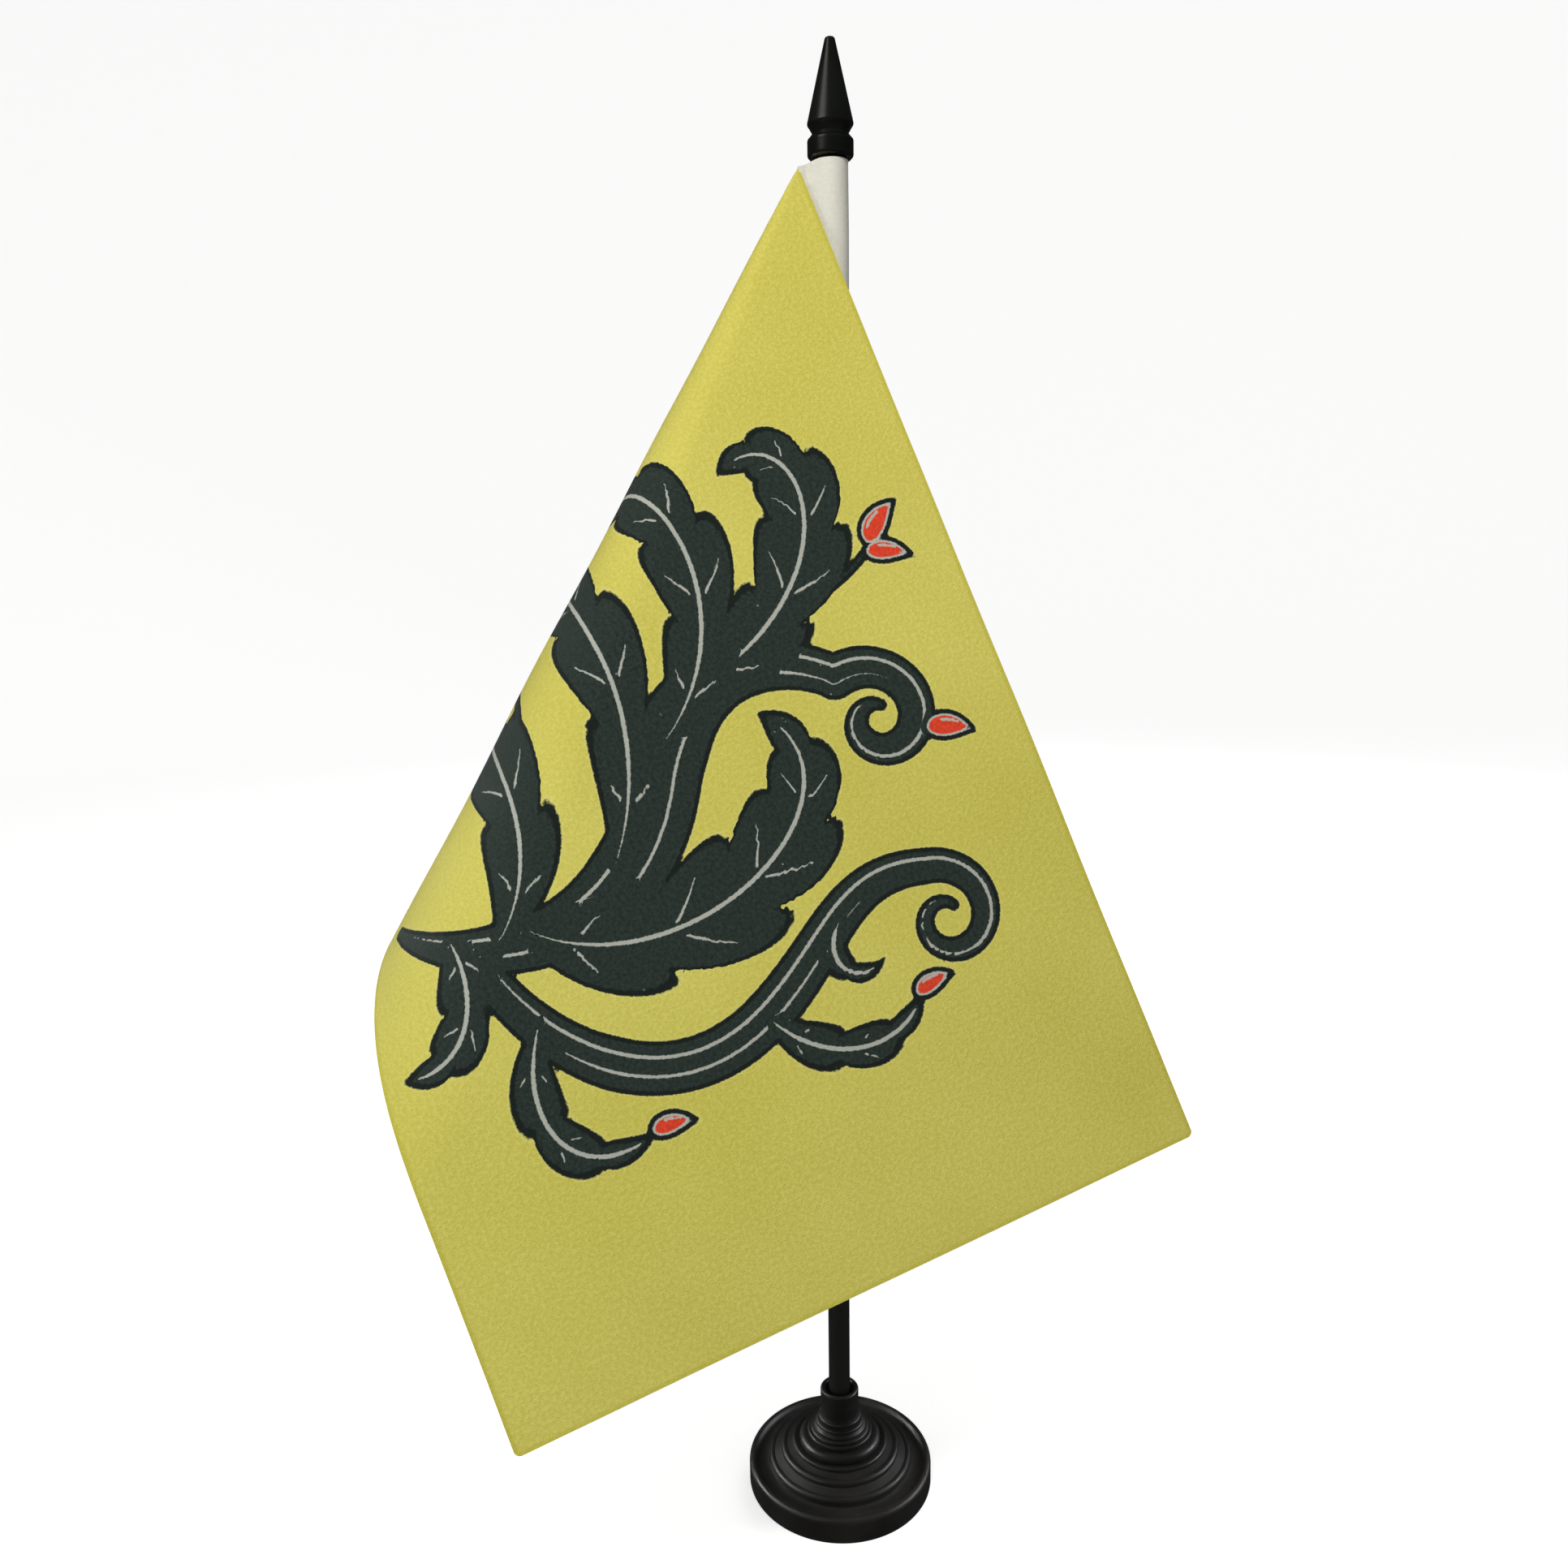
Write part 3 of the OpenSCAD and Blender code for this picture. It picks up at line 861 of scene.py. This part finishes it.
to_cut = calc(tree, "MINIMUM", to_side, calc(tree, "SUBTRACT", flag_l * MM, over.outputs[0]))
ground = blend(tree, ease(tree, to_cut, 0.0002, 0.0012, 0.6, 0.0), ground, yellow_edge)

# The ink's edge wanders a little with the threads, and has a pale margin outside it
ragged = calc(tree, "MULTIPLY_ADD", threads["Pebble"], 0.16, -0.08)
ink = calc(tree, "ADD", value_of(tree, "ink"), ragged)
margin = calc(tree, "MULTIPLY", ease(tree, ink, -0.45, -0.1), 0.35)
colour = blend(tree, margin, ground, yellow_pale)
black = blend(tree, calc(tree, "MULTIPLY", threads["Pebble"], 0.55), ink_black, ink_worn)
black = blend(tree, calc(tree, "MULTIPLY", threads["Fleck"], 0.6), black, vein_white)
black = blend(tree, ease(tree, ink, 0.7, 1.0, 0.8, 0.0), black, ink_line)
colour = blend(tree, ease(tree, ink, -0.13, 0.13), colour, black)
red = blend(tree, threads["Pebble"], bud_deep, bud_red)
inside_bud = calc(tree, "ADD", value_of(tree, "red"), ragged)
red = blend(tree, ease(tree, inside_bud, 0.3, 0.5), vein_white, red)
colour = blend(tree, ease(tree, inside_bud, -0.12, 0.12), colour, red)


def line_mask(offset, width):
    """1 on a vein, where the distance from its middle is under its half-width."""
    beside = calc(tree, "SUBTRACT", value_of(tree, width), calc(tree, "ABSOLUTE", value_of(tree, offset)))
    return ease(tree, calc(tree, "ADD", beside, ragged), -0.1, 0.12)


veins = calc(tree, "MAXIMUM", line_mask("rib", "rib_w"), line_mask("side", "side_w"))
veins = calc(tree, "MULTIPLY", veins, ease(tree, ink, 0.25, 0.5, 0.0, 0.92))
colour = blend(tree, veins, colour, vein_white)
faded = calc(tree, "MULTIPLY", value_of(tree, "reverse"), 0.14)
tree.links.new(blend(tree, faded, colour, yellow_pale), shader.inputs["Base Color"])
tree.links.new(ease(tree, threads["Pebble"], 0.0, 1.0, 0.55, 0.75), shader.inputs["Roughness"])
woven = bump(tree, threads["Weave"], 0.00003)
tree.links.new(bump(tree, threads["Pebble"], 0.00006, woven), shader.inputs["Normal"])
dress(flag, "flag", "flag_cloth", printed, "flag_panel")

# ---------------------------------------------------------------------------
# Seam stitches
# White two-ply polyester thread, lockstitched through the sleeve's lips and the
# flag between them: each stitch shows as a short bar on both faces, and dives
# into its needle holes.
# ---------------------------------------------------------------------------

thread_r = 0.14
stitches = int((flag_h - 2 * stitch_margin) / stitch_pitch)
top = first_stitch - np.arange(stitches) * stitch_pitch
face_side = np.array([-1, 1])
run = np.linspace(0, 1, 13)
around = np.linspace(0, 2 * np.pi, 10, endpoint=False)
number, face, run, around = np.meshgrid(np.arange(stitches), face_side, run, around, indexing="ij")
sag = np.sin(np.pi * run) ** 0.4
level = 1.5 * cloth + 0.06 - 0.3 * (1 - sag)
two_ply = 1 + 0.13 * np.cos(2 * around + 9 * run)
thick = thread_r * np.clip(np.sin(np.pi * run), 0.02, 1) ** 0.25 * two_ply
lean = 0.12 * (run - 0.5) * face
x = stitch_x + lean + thick * np.cos(around)
y = face * level + thick * np.sin(around)
z = top[number] - stitch_l * run
points = from_seam(x, y, z).reshape(-1, 3)
rings, sides = run.shape[2:]
one = np.array(quads(rings, sides, wrap=True))
firsts = np.arange(stitches * 2) * rings * sides
bars = (one[None] + firsts[:, None, None]).reshape(-1, 4).tolist()
near_end = (np.arange(sides)[None] + firsts[:, None]).tolist()
far_end = (np.arange(sides)[None, ::-1] + firsts[:, None] + (rings - 1) * sides).tolist()
seam = new_piece("seam_thread", points, bars + near_end + far_end, 60)

spun, tree, shader = new_material("spun white thread", Specular_IOR_Level=0.3)
fibres = noise(tree, place_on(tree, (1, 1, 0.4)), 0.00012, 3.0)
thread_colour = blend(tree, fibres, (0.62, 0.61, 0.55, 1), (0.85, 0.84, 0.79, 1))
tree.links.new(thread_colour, shader.inputs["Base Color"])
tree.links.new(ease(tree, fibres, 0.3, 0.7, 0.65, 0.45), shader.inputs["Roughness"])
tree.links.new(bump(tree, fibres, 0.00002), shader.inputs["Normal"])
dress(seam, "flag", "stitch_thread", spun, "seam_stitches")

# ---------------------------------------------------------------------------
# Studio
# A round sweep of white paper under and about the stand, a warm key lamp and a
# cool low fill in front, a softbox and two strips for the plastic's highlights, a
# light behind, and the camera a little above the middle of the flag.
# ---------------------------------------------------------------------------

floor_r, cove_r, wall_h, floor_drop = 1.2, 0.5, 1.5, 0.00005
sweep = np.vstack([
    [(0.02, 0), (floor_r, 0)],
    arc(floor_r, cove_r, cove_r, -90, 0, 16),
    [(floor_r + cove_r, wall_h)],
])
a = np.linspace(0, 2 * np.pi, 96, endpoint=False)
height = np.repeat(sweep[:, 1:], len(a), 1) - floor_drop
rings = np.stack([sweep[:, :1] * np.cos(a), sweep[:, :1] * np.sin(a), height], -1).reshape(-1, 3)
middle_disc = [np.arange(len(a)).tolist()]
floor = new_piece("paper_sweep", rings, quads(len(sweep), len(a), wrap=True) + middle_disc)
paper, tree, shader = new_material(
    "white paper",
    Roughness=0.9,
    Specular_IOR_Level=0.1,
    Emission_Color=(1, 1, 1, 1),
    Emission_Strength=0.65,
)
pulp = noise(tree, place_on(tree), 0.01, 3.0)
white = blend(tree, pulp, (0.86, 0.86, 0.86, 1), (0.9, 0.9, 0.9, 1))
tree.links.new(white, shader.inputs["Base Color"])
floor.data.materials.append(paper)
floor.visible_glossy = False
floor.visible_diffuse = False


def softbox(name, azimuth, elevation, distance, size, power, colour, aim=0.17, spread=180, seen=""):
    """A flat light, size (width, height), turned to the height aim on the pole from these angles
    and this distance; azimuth 0 is in front. spread is its beam's angle. seen names the only kind
    of ray that meets it, "diffuse" or "glossy"; without it, both do."""
    a, e = math.radians(azimuth), math.radians(elevation)
    away = Vector((math.sin(a) * math.cos(e), -math.cos(a) * math.cos(e), math.sin(e)))
    light = bpy.data.lights.new(name, "AREA")
    light.shape, light.size, light.size_y = "RECTANGLE", *size
    light.energy, light.color = power, colour
    light.spread = math.radians(spread)
    lamp = bpy.data.objects.new(name, light)
    lamp.location = Vector((0, 0, aim)) + away * distance
    lamp.rotation_euler = away.to_track_quat("Z", "Y").to_euler()
    lamp.visible_camera = False
    lamp.visible_glossy = seen != "diffuse"
    lamp.visible_diffuse = seen != "glossy"
    bpy.context.scene.collection.objects.link(lamp)


softbox("key lamp", -13, 46, 0.6, (0.08, 0.08), 2.45, (1.0, 0.95, 0.86), seen="diffuse")
softbox("low fill", -38, -10, 0.4, (0.1, 0.1), 0.21, (0.85, 0.94, 1.0), seen="diffuse")
softbox("left softbox", -47, 40, 0.95, (0.42, 0.45), 1.2, (1.0, 0.99, 0.92), seen="glossy")
softbox("left strip", -102, 25, 0.9, (0.4, 0.12), 0.25, (1.0, 1.0, 0.98), 0.01, 28, seen="glossy")
softbox("right strip", 102, 25, 0.9, (0.4, 0.12), 0.2, (0.98, 0.99, 1.0), 0.01, 28, seen="glossy")
softbox("back softbox", 160, 35, 1.0, (0.6, 0.6), 2.0, (1.0, 1.0, 1.0), seen="diffuse")

# The room is an even white; glossy rays see it darker, so that the black plastic stays black
world = bpy.data.worlds.new("room")
bpy.context.scene.world = world
world.use_nodes = True
tree = world.node_tree
tree.nodes.clear()
mirrored = node(tree, "ShaderNodeLightPath").outputs["Is Glossy Ray"]
sky = blend(tree, mirrored, (1, 1, 1, 1), (0.08, 0.08, 0.08, 1))
back = node(tree, "ShaderNodeBackground", {"Color": sky, "Strength": 0.31})
node(tree, "ShaderNodeOutputWorld", {"Surface": back.outputs[0]})

# The camera's place in metres, and its turns in radians
camera_place = Vector((0, -0.277537, 0.231314))
pitch, yaw, roll = -0.1933, -0.0413, -0.0152
ahead = Vector((math.sin(yaw) * math.cos(pitch), math.cos(yaw) * math.cos(pitch), math.sin(pitch)))
level_right = ahead.cross(Vector((0, 0, 1))).normalized()
level_up = level_right.cross(ahead)
right = level_right * math.cos(roll) + level_up * math.sin(roll)
up = level_up * math.cos(roll) - level_right * math.sin(roll)
lens = bpy.data.cameras.new("camera")
lens.sensor_width = 36
lens.lens = 28.9
lens.clip_start = 0.01
lens.clip_end = 20
camera = bpy.data.objects.new("camera", lens)
turned = Matrix((right, up, -ahead)).transposed().to_4x4()
camera.matrix_world = Matrix.Translation(camera_place) @ turned
bpy.context.scene.collection.objects.link(camera)
bpy.context.scene.camera = camera
bpy.context.scene.view_settings.view_transform = "Standard"
